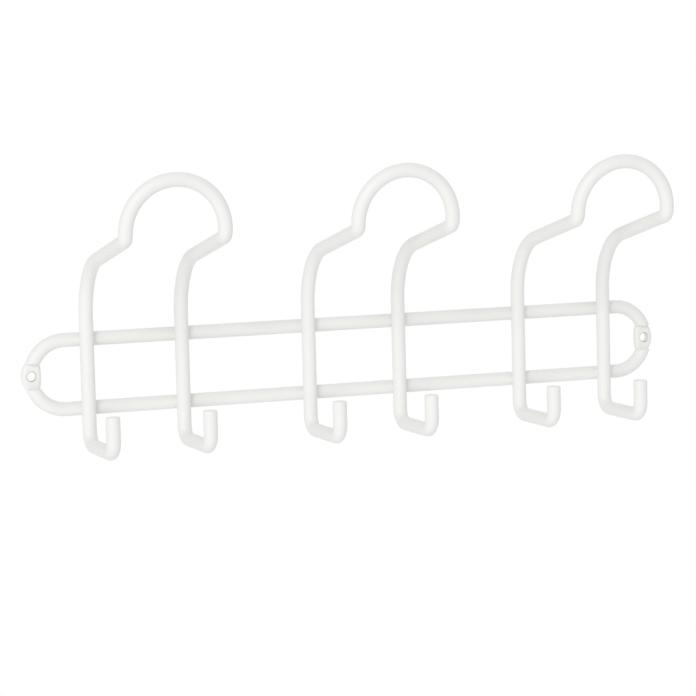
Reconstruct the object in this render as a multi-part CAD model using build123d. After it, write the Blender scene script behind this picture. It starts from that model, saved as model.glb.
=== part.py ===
from build123d import *
import os
from math import cos, radians, sin, sqrt

# Wall coat rack bent and welded from round steel rod, in millimetres.
# +X runs along the rack, +Y points into the wall and +Z is up.
# The origin lies on the wall, midway between the two screw holes.

# Rod stock
rod_diameter = 8.0
rod_flats = 10                # flats round the section, so that the many bends stay light
tip_chamfer = 0.7             # broken edge of a cut rod end

# Frame: one rod bent into an oblong ring, pressed flat at both ends for a screw
ring_length = 384.0           # end to end of the ring's centreline
rail_spacing = 39.2           # upper rail to lower rail, centre to centre
hole_spacing = 383.0          # screw hole to screw hole, each in the middle of a lug
screw_hole_diameter = 5.3
lug_height = 13.8             # pressed length of rod, up the end of the ring
lug_width = 11.5              # across the bulged sides
lug_thickness = 4.5
lug_chamfer = 1.4             # rounding of the lug's long edges
shoulder_slope = 10.0         # lean of the step from the lug up to the full rod, in degrees

# Hook wires: each is one rod bent into two lower hooks, two legs and an arch
hook_names = ["hook_wire_left", "hook_wire_middle", "hook_wire_right"]
hook_pitch = 132.8            # middle of one hook wire to the middle of the next
leg_spacing = 56.0            # leg to leg, centre to centre; the arch is as wide
lower_tip_height = -19.0
lower_arm_height = -40.0
lower_arm_reach = 49.0        # leg to upturned tip, centre to centre
lower_bend_radius = 8.0
upper_arm_height = 60.0       # where the leg and the upper arm would cross
upper_arm_reach = 86.0        # leg to neck, centre to centre
upper_arm_rise = 19.5
upper_bend_radius = 35.0
neck_bend_radius = 5.0
neck_length = 4.0             # neck corner to the start of the arch
arch_lean = 7.0               # the arch leans away from the wall, in degrees

# Welds where a leg crosses a rail
weld_set_down = 0.8           # how far a leg sinks into the rail
weld_diameter = 6.7           # across flats
weld_flats = 8

# Positions worked out from the driving dimensions
rod_radius = rod_diameter / 2
ring_end = ring_length / 2
hole_x = hole_spacing / 2
rail_height = rail_spacing / 2
rail_y = -rod_radius
leg_y = rail_y - (rod_diameter - weld_set_down)
weld_y = (rail_y + leg_y) / 2
half_leg = leg_spacing / 2
hook_middles = [hook_pitch * (i - (len(hook_names) - 1) / 2) for i in range(len(hook_names))]


def bent_rod(centreline):
    """Rod along a smooth centreline, with a flat towards the wall at its start."""
    start = Plane(origin=centreline @ 0, x_dir=(0, 1, 0), z_dir=centreline % 0)
    section = RegularPolygon(rod_radius, rod_flats, major_radius=False, rotation=180 / rod_flats)
    return sweep(start * section, path=centreline)


def half_ring():
    """Right half of the ring, from the middle of the upper rail round to the middle of the lower."""
    bend_x = ring_end - rail_height
    upper = Line((0, rail_y, rail_height), (bend_x, rail_y, rail_height))
    bend = ThreePointArc(
        (bend_x, rail_y, rail_height), (ring_end, rail_y, 0), (bend_x, rail_y, -rail_height)
    )
    lower = Line((bend_x, rail_y, -rail_height), (0, rail_y, -rail_height))
    return bent_rod(Wire([upper, bend, lower]))


def facing_room(y):
    """Plane at the right screw hole that looks into the room, at a given Y."""
    return Plane(origin=(hole_x, y, 0), x_dir=(1, 0, 0), z_dir=(0, -1, 0))


def past_hole(radius, height):
    """How far a circle about the middle of the right bend lies past the screw hole, at a height."""
    return ring_end - rail_height + sqrt(radius**2 - height**2) - hole_x


def lug():
    """Pressed length of rod at the right end, with both sides bulged and their edges broken."""
    top = lug_height / 2
    side = lug_width / 2
    rod_inside = past_hole(rail_height - rod_radius, top)
    rod_outside = past_hole(rail_height + rod_radius, top)
    outline = Wire([
        ThreePointArc((rod_inside, top), (-side, 0), (rod_inside, -top)),
        Line((rod_inside, -top), (rod_outside, -top)),
        ThreePointArc((rod_outside, -top), (side, 0), (rod_outside, top)),
        Line((rod_outside, top), (rod_inside, top)),
    ])
    plate = extrude(facing_room(0) * make_face(outline), amount=lug_thickness)
    long_edges = plate.edges().filter_by(lambda edge: abs(edge.center().Z) < top / 2)
    return chamfer(long_edges, lug_chamfer)


def pressing_die():
    """Space that the press clears at the right end, with sloped shoulders in front of the lug."""
    side = 2 * rail_height
    pressed = extrude(facing_room(0) * Rectangle(side, lug_height), amount=lug_thickness)
    opening = facing_room(-lug_thickness) * Rectangle(side, lug_height)
    return pressed + extrude(opening, amount=rod_diameter, taper=-shoulder_slope)


def screw_hole():
    """Round hole through the right lug."""
    return extrude(facing_room(0) * Circle(screw_hole_diameter / 2), amount=lug_thickness)


def wall_frame():
    """Oblong ring with a pressed and drilled lug at both ends."""
    right = half_ring() - pressing_die() + lug() - screw_hole()
    return right + mirror(right, about=Plane.YZ)


def hook_centreline():
    """Path of a hook wire about X = 0, from the left tip over the arch to the right tip."""
    lean = radians(arch_lean)
    tip_y = leg_y - lower_arm_reach
    neck_y = leg_y - upper_arm_reach
    neck_z = upper_arm_height + upper_arm_rise
    arch_y = neck_y - neck_length * sin(lean)
    arch_z = neck_z + neck_length * cos(lean)
    corners = [
        (-half_leg, tip_y, lower_tip_height),
        (-half_leg, tip_y, lower_arm_height),
        (-half_leg, leg_y, lower_arm_height),
        (-half_leg, leg_y, upper_arm_height),
        (-half_leg, neck_y, neck_z),
        (-half_leg, arch_y, arch_z),
    ]
    radii = [lower_bend_radius, lower_bend_radius, upper_bend_radius, neck_bend_radius]
    left_run = FilletPolyline(*corners, radius=radii)
    right_run = mirror(left_run, about=Plane.YZ)
    arch_top = (0, arch_y - half_leg * sin(lean), arch_z + half_leg * cos(lean))
    arch = ThreePointArc((-half_leg, arch_y, arch_z), arch_top, (half_leg, arch_y, arch_z))
    return Wire(left_run.edges() + arch.edges() + right_run.edges())


def hook_wire():
    """Bent hook wire about X = 0, before it is seated on the rails."""
    wire = bent_rod(hook_centreline())
    lowest = lower_tip_height - tip_chamfer
    highest = lower_tip_height + tip_chamfer
    tips = wire.faces().filter_by_position(Axis.Z, lowest, highest)
    return chamfer(tips.edges(), tip_chamfer)


def weld(leg_x, rail_z):
    """Weld metal at one crossing, before the two rods are taken out of it."""
    outline = RegularPolygon(weld_diameter / 2, weld_flats, major_radius=False, rotation=180 / weld_flats)
    blank = extrude(outline, amount=rod_radius, both=True)
    return Pos(leg_x, weld_y, rail_z) * Rot(90, 0, 0) * blank


def welds(frame, wires):
    """All the welds, four on each hook wire, each filling the corner between leg and rail."""
    beads = []
    for middle, wire in zip(hook_middles, wires):
        for leg_x in (middle - half_leg, middle + half_leg):
            for rail_z in (-rail_height, rail_height):
                beads += (weld(leg_x, rail_z) - frame - wire).solids()
    return Compound(children=beads)


frame = wall_frame()
wires = [Pos(middle, 0, 0) * hook_wire() - frame for middle in hook_middles]

os.makedirs("parts", exist_ok=True)
export_step(frame, "parts/wall_frame.step")
for name, wire in zip(hook_names, wires):
    export_step(wire, f"parts/{name}.step")
export_step(welds(frame, wires), "parts/welds.step")
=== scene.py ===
"""White coat rack of bent round rod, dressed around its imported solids.

Lengths are in metres, in the frame of the solids: +X runs along the rack, +Y points into the wall
and +Z is up. The origin lies on the wall, midway between the two screw holes.
"""
import logging
import math
from collections.abc import Callable
from dataclasses import dataclass
from enum import Enum

import bmesh
import bpy
from bmesh.types import BMEdge, BMesh, BMVert
from bpy.types import Material, Node, NodeSocket, NodeTree, Object
from mathutils import Matrix, Quaternion, Vector


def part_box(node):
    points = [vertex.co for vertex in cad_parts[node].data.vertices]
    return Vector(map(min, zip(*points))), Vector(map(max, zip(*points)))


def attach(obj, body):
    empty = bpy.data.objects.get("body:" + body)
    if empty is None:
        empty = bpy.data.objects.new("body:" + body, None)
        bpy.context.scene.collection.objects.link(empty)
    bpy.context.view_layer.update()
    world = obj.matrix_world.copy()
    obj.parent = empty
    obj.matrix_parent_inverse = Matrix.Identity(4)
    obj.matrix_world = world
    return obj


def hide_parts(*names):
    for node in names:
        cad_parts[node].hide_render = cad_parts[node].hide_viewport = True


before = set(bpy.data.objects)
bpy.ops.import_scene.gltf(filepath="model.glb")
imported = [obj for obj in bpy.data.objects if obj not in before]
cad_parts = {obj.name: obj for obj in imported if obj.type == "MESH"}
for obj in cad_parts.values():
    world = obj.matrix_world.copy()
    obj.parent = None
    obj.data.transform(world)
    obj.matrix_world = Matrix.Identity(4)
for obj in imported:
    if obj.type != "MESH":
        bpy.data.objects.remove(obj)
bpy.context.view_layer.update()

MM = 0.001
BODY = "root"
COAT_SLOT = "white_powder_coat"
# Name of the vertex attribute that holds the painted shade on the screw holes' rounded rims.
PAINTED_RIM_SHADE = "painted_rim_shade"
MERGE_GAP = 0.001 * MM
QUARTER_TURN = math.pi / 2
ACROSS, INTO_WALL, UP = Vector((1, 0, 0)), Vector((0, 1, 0)), Vector((0, 0, 1))

Colour = tuple[float, float, float, float]
Triple = tuple[float, float, float]

log = logging.getLogger("coat_rack")


def grow_rim(mesh: BMesh, rim: list[BMEdge], place: Callable[[Vector], Vector]) -> list[BMEdge]:
    """Adds one row of faces to an open end of a mesh.

    Args:
        mesh: the mesh.
        rim: the edges of the open end.
        place: gives a new vertex its place, from the place of the vertex that it grows out of.

    Returns:
        The edges of the new open end.
    """
    grown = bmesh.ops.extrude_edge_only(mesh, edges=rim)["geom"]
    fresh = {item for item in grown if isinstance(item, BMVert)}
    for vert in fresh:
        vert.co = place(vert.co)
    edges = [item for item in grown if isinstance(item, BMEdge)]
    return [edge for edge in edges if fresh.issuperset(edge.verts)]


@dataclass(frozen=True)
class RodStock:
    """Round steel rod, and how finely its mesh is drawn."""

    radius: float = 4.0 * MM
    sides: int = 48
    row_turn: float = math.radians(4.0)
    fewest_rows: int = 2
    tip_rounding: float = 0.8 * MM
    tip_rows: int = 5
    tip_search: float = 1.01


class BentRod:
    """One round rod that is bent stretch by stretch, as on a bending machine."""

    def __init__(self, stock: RodStock, start: Vector, heading: Vector) -> None:
        """Cuts the rod and clamps its first end.

        Args:
            stock: the rod it is made of.
            start: the middle of the first end.
            heading: the direction in which the rod leaves that end.
        """
        self.stock = stock
        self.start = start.copy()
        self.point = start.copy()
        self.heading = heading.normalized()
        self.mesh: BMesh = bmesh.new()
        facing = self.heading.to_track_quat("Z", "Y").to_matrix().to_4x4()
        place = Matrix.Translation(start) @ facing
        bmesh.ops.create_circle(self.mesh, segments=stock.sides, radius=stock.radius, matrix=place)
        self.rim: list[BMEdge] = list(self.mesh.edges)

    def grow(self, place: Callable[[Vector], Vector]) -> None:
        """Adds one row to the open end, where `place` moves the vertices of the row before it."""
        self.rim = grow_rim(self.mesh, self.rim, place)

    def run(self, length: float, rows: int = 1) -> None:
        """Feeds a straight stretch.

        Args:
            length: how long the stretch is.
            rows: into how many rows it is divided.
        """
        step = self.heading * (length / rows)
        for _ in range(rows):
            self.grow(lambda spot: spot + step)
        self.point += self.heading * length

    def bend(self, radius: float, turn: float, towards: Vector) -> None:
        """Bends the rod round a die.

        Args:
            radius: radius of the bend at the rod's middle.
            turn: angle of the bend.
            towards: direction of the die from the rod, square to the heading.
        """
        centre = self.point + towards.normalized() * radius
        axis = self.heading.cross(towards).normalized()
        rows = max(self.stock.fewest_rows, round(turn / self.stock.row_turn))
        verts = {vert for edge in self.rim for vert in edge.verts}
        spun = bmesh.ops.spin(
            self.mesh, geom=[*verts, *self.rim], cent=centre, axis=axis, angle=turn, steps=rows
        )["geom_last"]
        self.rim = [item for item in spun if isinstance(item, BMEdge)]
        swing = Matrix.Rotation(turn, 3, axis)
        self.point = centre + swing @ (self.point - centre)
        self.heading = (swing @ self.heading).normalized()

    def round_tip(self) -> None:
        """Closes the first end with a flat face and breaks its edge."""
        reach = self.stock.radius * self.stock.tip_search
        near = {vert for vert in self.mesh.verts if (vert.co - self.start).length < reach}
        ring = [
            edge
            for edge in self.mesh.edges
            if edge.is_boundary and near.issuperset(edge.verts)
        ]
        bmesh.ops.edgeloop_fill(self.mesh, edges=ring)
        bmesh.ops.bevel(
            self.mesh,
            geom=ring,
            offset=self.stock.tip_rounding,
            segments=self.stock.tip_rows,
            profile=0.5,
            affect="EDGES",
            material=-1,
        )
        flat = max(self.mesh.faces, key=lambda face: len(face.verts))
        bmesh.ops.inset_individual(self.mesh, faces=[flat], thickness=self.stock.tip_rounding / 2)


@dataclass(frozen=True)
class RingBend:
    """Half-round end of the frame's ring, about an axis that points into the wall."""

    centre_x: float
    radius: float
    rod_y: float

    def section_angle(self, spot: Vector) -> float:
        """Gives the angle of a surface point round the rod.

        Args:
            spot: a point on the bent rod's surface.

        Returns:
            The angle, from 0 on the outside of the bend over a right angle at the front.
        """
        outward = math.hypot(spot.x - self.centre_x, spot.z) - self.radius
        return math.atan2(self.rod_y - spot.y, outward)

    def turned(self, spot: Vector, share: float, level: float) -> Vector:
        """Slides a surface point round the bend, towards a level plane.

        Args:
            spot: a point on the bent rod's surface.
            share: how far it goes, from 0 for no way to 1 for all the way.
            level: height of the plane.

        Returns:
            The new point, still on the rod's surface.
        """
        reach = math.hypot(spot.x - self.centre_x, spot.z)
        now = math.atan2(spot.z, spot.x - self.centre_x)
        then = math.asin(level / reach)
        angle = now + share * (then - now)
        return Vector((self.centre_x + reach * math.cos(angle), spot.y, reach * math.sin(angle)))


@dataclass(frozen=True)
class ScrewLug:
    """Flat that is pressed into the end of the ring, and the screw hole in its middle.

    Shade is painted dark on the hole's rounded edges, and less of it on their right side, which
    the lamps on the left light, by a set share.
    """

    middle_x: float = 191.5 * MM
    height: float = 13.8 * MM
    width: float = 11.5 * MM
    thickness: float = 4.5 * MM
    edge_rounding: float = 2.1 * MM
    shoulder_slope: float = math.radians(10.0)
    shoulder_rounding: float = 0.12 * MM
    shoulder_rows: int = 12
    face_rows: int = 10
    hole_radius: float = 2.65 * MM
    hole_rounding: float = 0.45 * MM
    hole_sides: int = 64
    hole_rows: int = 6
    drill_overrun: float = 1.0 * MM
    # Share of the painted rim shade taken off the right side, which the lamps on the left light.
    right_lit_share: float = 0.75

    def shoulder_top(self, stock: RodStock) -> float:
        """Gives the height at which the press first touches the rod."""
        drop = 2 * stock.radius - self.thickness
        return self.height / 2 + drop * math.tan(self.shoulder_slope) + self.shoulder_rounding

    def pressed_share(self, level: float, stock: RodStock) -> float:
        """Gives how far the rod is pressed at a height.

        Args:
            level: height above the screw hole.
            stock: the rod of the ring.

        Returns:
            A share from 0, for round, to 1, for flat.
        """
        top = self.shoulder_top(stock)
        foot = self.height / 2 - self.shoulder_rounding
        share = min(1.0, max(0.0, (top - level) / (top - foot)))
        return share * share * (3 - 2 * share)

    def painted_rim_shade(self, spot: Vector) -> float:
        """Gives how much painted shade darkens a point of the holes' rounded edges.

        Args:
            spot: a point on the drilled frame.

        Returns:
            A share from 0, off the edges, to 1, at the middle of an edge.
        """
        across = spot.x - math.copysign(self.middle_x, spot.x)
        reach = math.hypot(across, spot.z)
        beyond = reach - self.hole_radius
        if not 0 < beyond < self.hole_rounding:
            return 0.0
        # Less painted shade on the right of the rim, which the lamps on the left light.
        lit_off = self.right_lit_share * max(0.0, across / reach) ** 2
        return math.sin(math.acos(1 - beyond / self.hole_rounding) * 2) * (1 - lit_off)

    def side(self, hand: int, level: float, bend: RingBend, stock: RodStock) -> float:
        """Gives one bulged side of the lug at a height.

        Args:
            hand: 1 for the outer side, -1 for the inner side.
            level: height above the screw hole.
            bend: the end of the ring that is pressed.
            stock: the rod of the ring.

        Returns:
            X of the side.
        """
        half = self.height / 2
        rod_side = bend.centre_x + math.sqrt((bend.radius + hand * stock.radius) ** 2 - half**2)
        middle = self.middle_x + hand * self.width / 2
        bulge = hand * (middle - rod_side)
        arc = (half**2 + bulge**2) / (2 * bulge)
        return middle - hand * (arc - math.sqrt(arc**2 - level**2))

    def flat_section(self, angle: float, half_width: float) -> tuple[float, float]:
        """Gives a point of the pressed section, a rectangle with rounded edges.

        Args:
            angle: angle that the point had round the rod, before the press.
            half_width: half the width of the section.

        Returns:
            The point's distances from the section's middle, outwards and towards the room.
        """
        side = self.thickness / 2 - self.edge_rounding
        face = half_width - self.edge_rounding
        edge = QUARTER_TURN * self.edge_rounding
        quarter = abs(math.atan2(math.sin(angle), abs(math.cos(angle)))) / QUARTER_TURN
        along = quarter * (side + edge + face)
        if along < side:
            out, front = half_width, along
        elif along < side + edge:
            turn = (along - side) / self.edge_rounding
            out = face + self.edge_rounding * math.cos(turn)
            front = side + self.edge_rounding * math.sin(turn)
        else:
            out, front = face - (along - side - edge), self.thickness / 2
        return math.copysign(out, math.cos(angle)), math.copysign(front, math.sin(angle))

    def press(self, spot: Vector, bend: RingBend, stock: RodStock) -> Vector:
        """Presses a point of the round rod between the dies.

        Args:
            spot: a point on the bent rod's surface, not below the screw hole.
            bend: the end of the ring that is pressed.
            stock: the rod of the ring.

        Returns:
            The point's place on the pressed surface, at the same height.
        """
        share = self.pressed_share(spot.z, stock)
        inner, outer = (self.side(hand, spot.z, bend, stock) for hand in (-1, 1))
        out, front = self.flat_section(bend.section_angle(spot), (outer - inner) / 2)
        flat = Vector(((inner + outer) / 2 + out, -self.thickness / 2 - front, spot.z))
        return spot.lerp(flat, share)

    def drill(self, hand: int) -> Object:
        """Makes the cutter of one screw hole, flared where it leaves the two faces.

        Args:
            hand: 1 for the right lug's hole, -1 for the left one's.

        Returns:
            A closed solid of revolution round the hole's axis.
        """
        middle_x = hand * self.middle_x
        steps = [QUARTER_TURN * i / self.hole_rows for i in range(self.hole_rows + 1)]
        flare = [
            (self.hole_rounding * (1 - math.cos(step)), self.hole_rounding * (1 - math.sin(step)))
            for step in steps
        ]
        wide = self.hole_radius + self.hole_rounding
        back = [(-depth, self.hole_radius + extra) for depth, extra in flare]
        front = [(depth - self.thickness, self.hole_radius + extra) for depth, extra in flare]
        start, end = self.drill_overrun, -self.thickness - self.drill_overrun
        profile = [(start, wide), *back, *reversed(front), (end, wide)]

        mesh = bmesh.new()
        level = Matrix.Translation((middle_x, start, 0)) @ Matrix.Rotation(QUARTER_TURN, 4, "X")
        bmesh.ops.create_circle(
            mesh, cap_ends=True, segments=self.hole_sides, radius=wide, matrix=level
        )
        rim = list(mesh.edges)
        for (_, last), (y, radius) in zip(profile, profile[1:]):

            def widened(spot: Vector) -> Vector:
                """Gives the place in the next row, scaled about the hole's axis."""
                x = middle_x + (spot.x - middle_x) * radius / last
                return Vector((x, y, spot.z * (radius / last)))

            rim = grow_rim(mesh, rim, widened)
        bmesh.ops.edgeloop_fill(mesh, edges=rim)
        return as_object("screw_hole_cutter", mesh)


@dataclass(frozen=True)
class WallFrame:
    """Ring of two rails with half-round ends, each pressed into a screw lug."""

    stock: RodStock
    lug: ScrewLug
    ring_end: float = 192.0 * MM
    rail_height: float = 19.6 * MM
    fan_start: float = math.radians(36.0)
    fan_rows: int = 8
    node: str = "wall_frame"

    @property
    def rail_y(self) -> float:
        """Y of the rails' centrelines."""
        return -self.stock.radius

    def quarter(self) -> BMesh:
        """Bends the upper right quarter, from the middle of the rail to the middle of the lug.

        Returns:
            The quarter, open at both ends, pressed but not drilled.
        """
        lug = self.lug
        bend = RingBend(self.ring_end - self.rail_height, self.rail_height, self.rail_y)
        rod = BentRod(self.stock, Vector((0, self.rail_y, self.rail_height)), ACROSS)
        rod.run(bend.centre_x)
        rod.bend(bend.radius, QUARTER_TURN - self.fan_start, -UP)
        top = lug.shoulder_top(self.stock)
        for row in range(self.fan_rows):
            share = 1 / (self.fan_rows - row)
            rod.grow(lambda spot: bend.turned(spot, share, top))
        foot = lug.height / 2 - lug.shoulder_rounding
        shoulder = [
            top + (foot - top) * (i + 1) / lug.shoulder_rows for i in range(lug.shoulder_rows)
        ]
        face = [foot * (1 - (i + 1) / lug.face_rows) for i in range(lug.face_rows)]
        for level in [*shoulder, *face]:
            rod.grow(lambda spot: bend.turned(spot, 1.0, level))
        for vert in rod.mesh.verts:
            if vert.co.x > bend.centre_x and vert.co.z < top:
                vert.co = lug.press(vert.co, bend, self.stock)
        return rod.mesh

    def build(self, coat: Material) -> None:
        """Makes the whole ring, drills it and puts it in place of its solid.

        Args:
            coat: the material of the finish.
        """
        mesh = self.quarter()
        mirror_and_join(mesh, "Z")
        mirror_and_join(mesh, "X")
        ring = as_object("frame_ring", mesh)
        cut_out(ring, [self.lug.drill(hand) for hand in (-1, 1)])
        # Paints shade on the screw holes' rounded rims, as a share on each vertex.
        rim_shade_layer = ring.data.attributes.new(PAINTED_RIM_SHADE, "FLOAT", "POINT")
        for vert, share in zip(ring.data.vertices, rim_shade_layer.data):
            share.value = self.lug.painted_rim_shade(vert.co)
        dress(ring, coat, self.node)


@dataclass(frozen=True)
class HookShape:
    """Driving sizes of a hook wire, from its lower tips to the top of its arch."""

    leg_spacing: float = 56.0 * MM
    lower_tip_height: float = -19.0 * MM
    lower_arm_height: float = -40.0 * MM
    lower_arm_reach: float = 49.0 * MM
    lower_bend_radius: float = 8.0 * MM
    upper_arm_height: float = 60.0 * MM
    upper_arm_reach: float = 86.0 * MM
    upper_arm_rise: float = 19.5 * MM
    upper_bend_radius: float = 35.0 * MM
    neck_bend_radius: float = 5.0 * MM
    neck_length: float = 4.0 * MM
    arch_lean: float = math.radians(7.0)
    set_down: float = 0.8 * MM
    seat_length: float = 10.0 * MM
    seat_rows: int = 16

    @property
    def upper_turn(self) -> float:
        """Angle of the bend from the leg to the upper arm."""
        return QUARTER_TURN - math.atan2(self.upper_arm_rise, self.upper_arm_reach)

    @property
    def upper_tangent(self) -> float:
        """Length that the upper bend takes off the leg, and off the arm."""
        return self.upper_bend_radius * math.tan(self.upper_turn / 2)

    @property
    def neck_turn(self) -> float:
        """Angle of the bend from the upper arm to the leaning arch."""
        return self.upper_turn - self.arch_lean

    @property
    def neck_tangent(self) -> float:
        """Length that the neck's bend takes off the arm, and off the neck."""
        return self.neck_bend_radius * math.tan(self.neck_turn / 2)


class HookPlace(Enum):
    """The three hook wires, each with the name of its solid."""

    LEFT = "hook_wire_left"
    MIDDLE = "hook_wire_middle"
    RIGHT = "hook_wire_right"


@dataclass(frozen=True)
class HookWire:
    """One rod bent into two lower hooks, two legs and an arch, seated on both rails."""

    place: HookPlace
    stock: RodStock
    shape: HookShape
    rail_height: float

    @property
    def middle_x(self) -> float:
        """X of the wire's plane of symmetry, read off its solid."""
        low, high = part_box(self.place.value)
        return (low.x + high.x) / 2

    @property
    def leg_y(self) -> float:
        """Y of the legs' centrelines, a rod and a half off the wall less what they sink in."""
        return self.shape.set_down - 3 * self.stock.radius

    def leg(self, rod: BentRod) -> None:
        """Feeds the leg up to the upper bend, with fine rows where it is seated on a rail.

        Args:
            rod: the rod, which stands at the lower end of the leg.
        """
        shape = self.shape
        for rail in (-self.rail_height, self.rail_height):
            rod.run(rail - shape.seat_length / 2 - rod.point.z)
            rod.run(shape.seat_length, rows=shape.seat_rows)
        rod.run(shape.upper_arm_height - shape.upper_tangent - rod.point.z)

    def left_half(self) -> BMesh:
        """Bends the left half about X = 0.

        Returns:
            The half, from its closed lower tip to the open top of the arch.
        """
        shape = self.shape
        arm = math.hypot(shape.upper_arm_rise, shape.upper_arm_reach)
        half = shape.leg_spacing / 2
        tip = Vector((-half, self.leg_y - shape.lower_arm_reach, shape.lower_tip_height))

        rod = BentRod(self.stock, tip, -UP)
        rod.run(tip.z - shape.lower_arm_height - shape.lower_bend_radius)
        rod.bend(shape.lower_bend_radius, QUARTER_TURN, INTO_WALL)
        rod.run(shape.lower_arm_reach - 2 * shape.lower_bend_radius)
        rod.bend(shape.lower_bend_radius, QUARTER_TURN, UP)
        self.leg(rod)
        rod.bend(shape.upper_bend_radius, shape.upper_turn, -INTO_WALL)
        rod.run(arm - shape.upper_tangent - shape.neck_tangent)
        rod.bend(shape.neck_bend_radius, shape.neck_turn, ACROSS.cross(-rod.heading))
        rod.run(shape.neck_length - shape.neck_tangent)
        rod.bend(half, QUARTER_TURN, ACROSS)
        rod.round_tip()
        return rod.mesh

    def seat(self, mesh: BMesh) -> None:
        """Presses the backs of the legs to the rails that they are welded to.

        Args:
            mesh: the wire's mesh, about X = 0.
        """
        for vert in mesh.verts:
            offset = abs(abs(vert.co.z) - self.rail_height)
            if offset < self.stock.radius and vert.co.y > self.leg_y:
                front = -self.stock.radius - math.sqrt(self.stock.radius**2 - offset**2)
                vert.co.y = min(vert.co.y, front)

    def build(self, coat: Material) -> None:
        """Makes the whole wire and puts it in place of its solid.

        Args:
            coat: the material of the finish.
        """
        mesh = self.left_half()
        self.seat(mesh)
        mirror_and_join(mesh, "X")
        bmesh.ops.translate(mesh, verts=mesh.verts, vec=ACROSS * self.middle_x)
        dress(as_object("bent_wire", mesh), coat, self.place.value)


@dataclass(frozen=True)
class WeldBeads:
    """The beads of weld and coating that fill the corners between the legs and the rails."""

    stock: RodStock
    rail_y: float
    leg_y: float
    crossings: list[tuple[float, float]]
    reach: float = 3.75 * MM
    hollow: float = 0.55 * MM
    sink: float = 0.2 * MM
    sides: int = 48
    rows: int = 8
    node: str = "welds"

    def spot(self, angle: float, share: float) -> Vector:
        """Gives a point of a bead's hollow side, about the crossing.

        Args:
            angle: direction round the crossing, from 0 along the rail.
            share: place between the rail, 0, and the leg, 1.

        Returns:
            The point.
        """
        reach = self.reach - self.hollow * math.sin(math.pi * share)
        x, z = reach * math.cos(angle), reach * math.sin(angle)
        on_rail = self.rail_y - math.sqrt(self.stock.radius**2 - z**2) + self.sink
        on_leg = self.leg_y + math.sqrt(self.stock.radius**2 - x**2) - self.sink
        return Vector((x, on_rail + (on_leg - on_rail) * share, z))

    def bead(self) -> BMesh:
        """Makes one closed bead.

        Returns:
            The bead, about the crossing of a leg and a rail.
        """
        mesh = bmesh.new()
        standing = Matrix.Rotation(QUARTER_TURN, 4, "X")
        bmesh.ops.create_circle(mesh, segments=self.sides, radius=self.reach, matrix=standing)
        for vert in mesh.verts:
            vert.co = self.spot(math.atan2(vert.co.z, vert.co.x), 0.0)
        first = list(mesh.edges)
        rim = first
        for row in range(1, self.rows + 1):
            share = row / self.rows
            rim = grow_rim(mesh, rim, lambda spot: self.spot(math.atan2(spot.z, spot.x), share))
        for ring in (first, rim):
            bmesh.ops.edgeloop_fill(mesh, edges=ring)
        return mesh

    def build(self, coat: Material) -> None:
        """Makes a bead at every crossing and puts them in place of their solids.

        Args:
            coat: the material of the finish.
        """
        bead = self.bead()
        template = bpy.data.meshes.new("weld_bead")
        bead.to_mesh(template)
        bead.free()
        mesh = bmesh.new()
        for x, z in self.crossings:
            before = len(mesh.verts)
            mesh.from_mesh(template)
            mesh.verts.ensure_lookup_table()
            bmesh.ops.translate(mesh, verts=mesh.verts[before:], vec=Vector((x, 0, z)))
        bpy.data.meshes.remove(template)
        dress(as_object("weld_beads", mesh), coat, self.node)


def mirror_and_join(mesh: BMesh, axis: str) -> None:
    """Adds the mirror image of a mesh and joins the two where they meet.

    Args:
        mesh: the half, which ends on the mirror's plane.
        axis: the mirror's axis, X or Z.
    """
    half = [*mesh.verts, *mesh.edges, *mesh.faces]
    bmesh.ops.mirror(mesh, geom=half, matrix=Matrix.Identity(4), merge_dist=MERGE_GAP, axis=axis)


def as_object(name: str, mesh: BMesh) -> Object:
    """Turns a mesh in the making into an object of the scene.

    Args:
        name: the object's name.
        mesh: the mesh, which is used up.

    Returns:
        The object, at the origin.
    """
    bmesh.ops.remove_doubles(mesh, verts=mesh.verts, dist=MERGE_GAP)
    bmesh.ops.recalc_face_normals(mesh, faces=mesh.faces)
    data = bpy.data.meshes.new(name)
    mesh.to_mesh(data)
    mesh.free()
    piece = bpy.data.objects.new(name, data)
    bpy.context.scene.collection.objects.link(piece)
    return piece


def cut_out(piece: Object, cutters: list[Object]) -> None:
    """Cuts other solids out of a piece and removes them.

    Args:
        piece: the piece that is cut.
        cutters: the solids that are taken out of it.
    """
    for cutter in cutters:
        step = piece.modifiers.new(cutter.name, "BOOLEAN")
        step.operation = "DIFFERENCE"
        step.solver = "EXACT"
        step.object = cutter
    shaped = piece.evaluated_get(bpy.context.evaluated_depsgraph_get())
    data = bpy.data.meshes.new_from_object(shaped)
    piece.modifiers.clear()
    piece.data = data
    for cutter in cutters:
        bpy.data.objects.remove(cutter)


def settle_order(piece: Object) -> None:
    """Puts a piece's vertices, edges and faces in an order that is the same in every run.

    Args:
        piece: the finished shape. Extruding and spinning leave its faces in a varying order.
    """
    mesh = bmesh.new()
    mesh.from_mesh(piece.data)
    ranked = sorted(mesh.verts, key=lambda vert: tuple(vert.co))
    mesh.verts.sort(key={vert: rank for rank, vert in enumerate(ranked)}.get)
    mesh.verts.index_update()
    for parts in (mesh.edges, mesh.faces):
        ranked = sorted(parts, key=lambda part: sorted(vert.index for vert in part.verts))
        parts.sort(key={part: rank for rank, part in enumerate(ranked)}.get)
    mesh.to_mesh(piece.data)
    mesh.free()


def dress(piece: Object, coat: Material, node: str) -> None:
    """Gives a piece its finish and puts it in place of its solid.

    Args:
        piece: the finished shape.
        coat: the material of the finish.
        node: the name of the solid that it stands for.
    """
    settle_order(piece)
    piece.name = f"coated_{node}"
    piece.data.materials.clear()
    piece.data.materials.append(coat)
    piece.data.polygons.foreach_set("use_smooth", [True] * len(piece.data.polygons))
    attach(piece, BODY)
    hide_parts(node)
    log.info("%s has %d faces", piece.name, len(piece.data.polygons))


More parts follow.
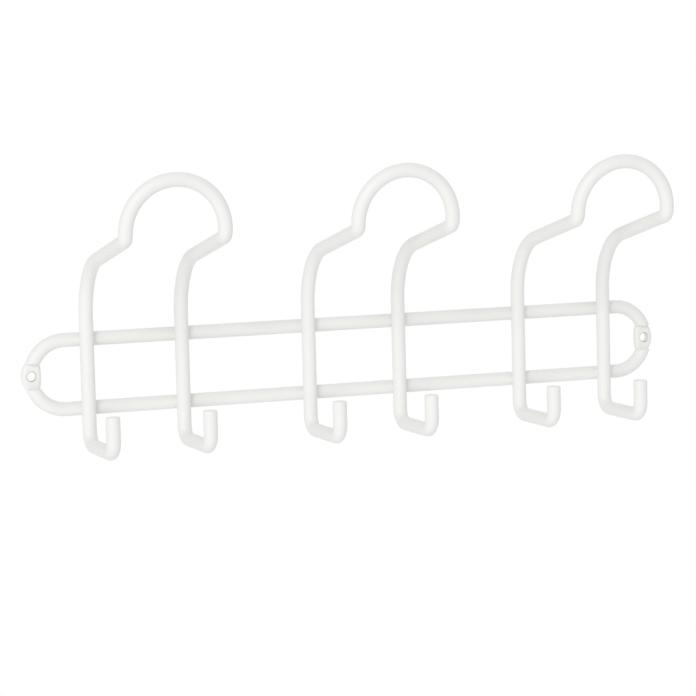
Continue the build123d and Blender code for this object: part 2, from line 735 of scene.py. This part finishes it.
class NodeSheet:
    """A material's or world's node tree that is laid out from an empty sheet."""

    def __init__(self, tree: NodeTree) -> None:
        """Clears the tree.

        Args:
            tree: the node tree that is filled.
        """
        self.tree = tree
        self.tree.nodes.clear()

    def fill(self, socket: NodeSocket, value: object) -> None:
        """Fills a socket.

        Args:
            socket: the input that is filled.
            value: another node's output, which is linked to it, or a plain value.
        """
        if isinstance(value, NodeSocket):
            self.tree.links.new(value, socket)
        else:
            socket.default_value = value

    def add(
        self, kind: str, settings: dict[str, object] | None = None, **inputs: object
    ) -> Node:
        """Adds a node.

        Args:
            kind: the node's type.
            settings: the node's own properties.
            inputs: what goes into its sockets, named with underscores: a value or another socket.

        Returns:
            The node.
        """
        node = self.tree.nodes.new(kind)
        for name, value in (settings or {}).items():
            setattr(node, name, value)
        for name, value in inputs.items():
            self.fill(node.inputs[name.replace("_", " ")], value)
        return node

    def noise(self, place: NodeSocket, scale: float, detail: float) -> NodeSocket:
        """Adds a noise pattern.

        Args:
            place: where the pattern is read.
            scale: how fine it is.
            detail: how many finer layers it has.

        Returns:
            The pattern's value.
        """
        node = self.add("ShaderNodeTexNoise", Vector=place, Scale=scale, Detail=detail)
        return node.outputs["Fac"]

    def larger(self, first: NodeSocket, second: NodeSocket) -> NodeSocket:
        """Takes the larger of two values.

        Args:
            first: one value.
            second: the other value.

        Returns:
            The larger one.
        """
        node = self.add("ShaderNodeMath", {"operation": "MAXIMUM"})
        for socket, value in zip(node.inputs, (first, second)):
            self.fill(socket, value)
        return node.outputs["Value"]

    def mix_colours(self, share: NodeSocket, first: object, second: Colour) -> NodeSocket:
        """Mixes two colours.

        Args:
            share: the share of the second colour.
            first: a colour or the output of another node.
            second: the other colour.

        Returns:
            The mixed colour.
        """
        # A Mix node has sockets for every kind of data; these are the ones for colours.
        share_in, first_in, second_in, colour_out = 0, 6, 7, 2
        node = self.add("ShaderNodeMix", {"data_type": "RGBA"})
        for number, value in ((share_in, share), (first_in, first), (second_in, second)):
            self.fill(node.inputs[number], value)
        return node.outputs[colour_out]

    def mix_shaders(self, share: NodeSocket, first: NodeSocket, second: NodeSocket) -> NodeSocket:
        """Mixes two shaders.

        Args:
            share: the share of the second shader.
            first: one shader.
            second: the other shader.

        Returns:
            The mixed shader.
        """
        node = self.add("ShaderNodeMixShader")
        for socket, value in zip(node.inputs, (share, first, second)):
            self.fill(socket, value)
        return node.outputs["Shader"]


@dataclass(frozen=True)
class PowderCoat:
    """Semi-gloss white powder coat: a slightly wavy, finely grained skin of even colour, with
    shade painted dark on the screw holes' rims.
    """

    light: Colour = (0.860, 0.862, 0.842, 1.0)
    deep: Colour = (0.835, 0.838, 0.815, 1.0)
    # Painted shade, dark, on the screw holes' rounded rims.
    rim_shade_colour: Colour = (0.24, 0.24, 0.23, 1.0)
    cloud_scale: float = 22.0
    cloud_detail: float = 3.0
    peel_scale: float = 520.0
    peel_detail: float = 1.5
    peel_depth: float = 0.05 * MM
    peel_strength: float = 0.25
    grain_scale: float = 2600.0
    grain_detail: float = 2.0
    grain_depth: float = 0.01 * MM
    grain_strength: float = 0.2
    grain_low: float = 0.3
    grain_high: float = 0.7
    glossiest: float = 0.42
    dullest: float = 0.56

    def build(self) -> Material:
        """Makes the material.

        Returns:
            The finish of every piece of the rack.
        """
        coat = bpy.data.materials.new(COAT_SLOT)
        coat.use_nodes = True
        sheet = NodeSheet(coat.node_tree)
        place = sheet.add("ShaderNodeTexCoord").outputs["Object"]
        cloud = sheet.noise(place, self.cloud_scale, self.cloud_detail)
        peel = sheet.noise(place, self.peel_scale, self.peel_detail)
        grain = sheet.noise(place, self.grain_scale, self.grain_detail)
        colour = sheet.mix_colours(cloud, self.light, self.deep)
        # Mixes the painted shade of the screw holes' rims into the colour.
        rim_shade_mask = sheet.add("ShaderNodeAttribute", {"attribute_name": PAINTED_RIM_SHADE})
        rim_shaded = sheet.mix_colours(rim_shade_mask.outputs["Fac"], colour, self.rim_shade_colour)
        sheen = sheet.add(
            "ShaderNodeMapRange", Value=grain, From_Min=self.grain_low, From_Max=self.grain_high,
            To_Min=self.glossiest, To_Max=self.dullest,
        )
        waves = sheet.add(
            "ShaderNodeBump", Height=peel, Strength=self.peel_strength, Distance=self.peel_depth
        )
        skin = sheet.add(
            "ShaderNodeBump", Height=grain, Strength=self.grain_strength,
            Distance=self.grain_depth, Normal=waves.outputs["Normal"],
        )
        paint = sheet.add(
            "ShaderNodeBsdfPrincipled", Base_Color=rim_shaded,
            Roughness=sheen.outputs["Result"], Normal=skin.outputs["Normal"],
        )
        sheet.add("ShaderNodeOutputMaterial", Surface=paint.outputs["BSDF"])
        return coat


class LampPlace(Enum):
    """Where a soft box stands, as azimuth and elevation in degrees: 0, 0 is straight in front."""

    UPPER_LEFT = (-34.0, 26.0)
    LOWER_LEFT = (-42.0, -46.0)


@dataclass(frozen=True)
class SoftBox:
    """A square lamp that faces the rack."""

    place: LampPlace
    power: float
    side: float
    distance: float = 4.8

    def build(self) -> None:
        """Hangs the lamp."""
        azimuth, elevation = (math.radians(angle) for angle in self.place.value)
        level = math.cos(elevation)
        away = Vector((math.sin(azimuth) * level, -math.cos(azimuth) * level, math.sin(elevation)))
        lamp = bpy.data.lights.new(self.place.name.lower(), "AREA")
        lamp.energy = self.power
        lamp.size = self.side
        holder = bpy.data.objects.new(lamp.name, lamp)
        holder.location = away * self.distance
        holder.rotation_mode = "QUATERNION"
        holder.rotation_quaternion = away.to_track_quat("Z", "Y")
        bpy.context.scene.collection.objects.link(holder)
        log.info("%s lights the rack with %.1f W", lamp.name, self.power)


@dataclass(frozen=True)
class Studio:
    """Pale floor, white surroundings, two soft boxes and the camera."""

    floor_height: float = -1.2
    floor_radius: float = 0.55
    floor_fade: float = 0.25
    floor_sides: int = 96
    floor_colour: Colour = (0.92, 0.92, 0.92, 1.0)
    sky_colour: Colour = (1.0, 1.0, 1.0, 1.0)
    sky_level: float = 0.75
    lamps: tuple[SoftBox, ...] = (
        SoftBox(LampPlace.UPPER_LEFT, 58.0, side=1.4),
        SoftBox(LampPlace.LOWER_LEFT, 39.0, side=3.2),
    )
    camera_place: Triple = (-0.5740, -1.5375, 0.1668)
    camera_aim: Triple = (0.0005, 0.0003, 0.0044)
    camera_roll: float = math.radians(-1.539)
    camera_lens: float = 145.21
    camera_range: tuple[float, float] = (0.05, 20.0)

    def floor_paint(self) -> Material:
        """Makes the floor's pale matt paint, clear past the rim and from underneath.

        Returns:
            The material.
        """
        paint = bpy.data.materials.new("pale_floor")
        paint.use_nodes = True
        sheet = NodeSheet(paint.node_tree)
        level = sheet.add("ShaderNodeVectorMath", {"operation": "MULTIPLY"})
        sheet.fill(level.inputs[0], sheet.add("ShaderNodeTexCoord").outputs["Object"])
        sheet.fill(level.inputs[1], ACROSS + INTO_WALL)
        away = sheet.add("ShaderNodeVectorMath", {"operation": "LENGTH"})
        sheet.fill(away.inputs[0], level.outputs["Vector"])
        fade = sheet.add(
            "ShaderNodeMapRange", {"interpolation_type": "SMOOTHSTEP"},
            Value=away.outputs["Value"], From_Min=self.floor_radius - self.floor_fade,
            From_Max=self.floor_radius,
        )
        below = sheet.add("ShaderNodeNewGeometry").outputs["Backfacing"]
        hidden = sheet.larger(fade.outputs["Result"], below)
        matt = sheet.add("ShaderNodeBsdfDiffuse", Color=self.floor_colour).outputs["BSDF"]
        clear = sheet.add("ShaderNodeBsdfTransparent").outputs["BSDF"]
        blend = sheet.mix_shaders(hidden, matt, clear)
        sheet.add("ShaderNodeOutputMaterial", Surface=blend)
        return paint

    def lay_floor(self) -> None:
        """Lays a round pale floor well below the rack, which fades out at its rim.

        It faces up and is clear from underneath, so that it never hides the rack. It lies deep
        enough to leave the lower lamp's way to the rack free.
        """
        mesh = bmesh.new()
        place = Matrix.Translation((0, 0, self.floor_height))
        bmesh.ops.create_circle(
            mesh, cap_ends=True, segments=self.floor_sides, radius=self.floor_radius, matrix=place
        )
        floor = as_object("studio_floor", mesh)
        # Recalculated normals of a single flat face may point either way.
        if floor.data.polygons[0].normal.z < 0:
            floor.data.flip_normals()
        floor.data.materials.append(self.floor_paint())
        log.info("%s lies %.2f m below the screw holes", floor.name, -self.floor_height)

    def paint_surroundings(self) -> None:
        """Makes the surroundings white to look at, and a little dimmer as a light."""
        world = bpy.data.worlds.new("white_surroundings")
        bpy.context.scene.world = world
        world.use_nodes = True
        sheet = NodeSheet(world.node_tree)
        path = sheet.add("ShaderNodeLightPath")
        seen = path.outputs["Is Camera Ray"]
        for kind in ("Is Glossy Ray", "Is Transmission Ray"):
            seen = sheet.larger(seen, path.outputs[kind])
        light, white = (
            sheet.add("ShaderNodeBackground", Color=self.sky_colour, Strength=strength)
            for strength in (self.sky_level, 1.0)
        )
        blend = sheet.mix_shaders(seen, light.outputs["Background"], white.outputs["Background"])
        sheet.add("ShaderNodeOutputWorld", Surface=blend)

    def set_camera(self) -> None:
        """Sets the camera at the photograph's viewing angle."""
        lens = bpy.data.cameras.new("camera")
        lens.lens = self.camera_lens
        lens.clip_start, lens.clip_end = self.camera_range
        camera = bpy.data.objects.new("camera", lens)
        place = Vector(self.camera_place)
        look = Vector(self.camera_aim) - place
        roll = Quaternion((0, 0, 1), self.camera_roll)
        camera.location = place
        camera.rotation_mode = "QUATERNION"
        camera.rotation_quaternion = look.to_track_quat("-Z", "Y") @ roll
        bpy.context.scene.collection.objects.link(camera)
        bpy.context.scene.camera = camera
        log.info("the camera stands %.2f m from its aim", look.length)

    def build(self) -> None:
        """Sets up the whole studio."""
        self.lay_floor()
        self.paint_surroundings()
        for lamp in self.lamps:
            lamp.build()
        self.set_camera()
        bpy.context.scene.view_settings.view_transform = "Standard"


def main() -> None:
    """Builds the frame, the hook wires, the welds and the studio."""
    logging.basicConfig(level=logging.INFO, format="%(name)s: %(message)s")
    coat = PowderCoat().build()
    stock = RodStock()
    ring = WallFrame(stock, ScrewLug())
    ring.build(coat)
    shape = HookShape()
    wires = [HookWire(place, stock, shape, ring.rail_height) for place in HookPlace]
    for wire in wires:
        wire.build(coat)
    half = shape.leg_spacing / 2
    legs = [wire.middle_x + side * half for wire in wires for side in (-1, 1)]
    crossings = [(x, z) for x in legs for z in (-ring.rail_height, ring.rail_height)]
    WeldBeads(stock, ring.rail_y, wires[0].leg_y, crossings).build(coat)
    Studio().build()


if __name__ == "__main__":
    main()
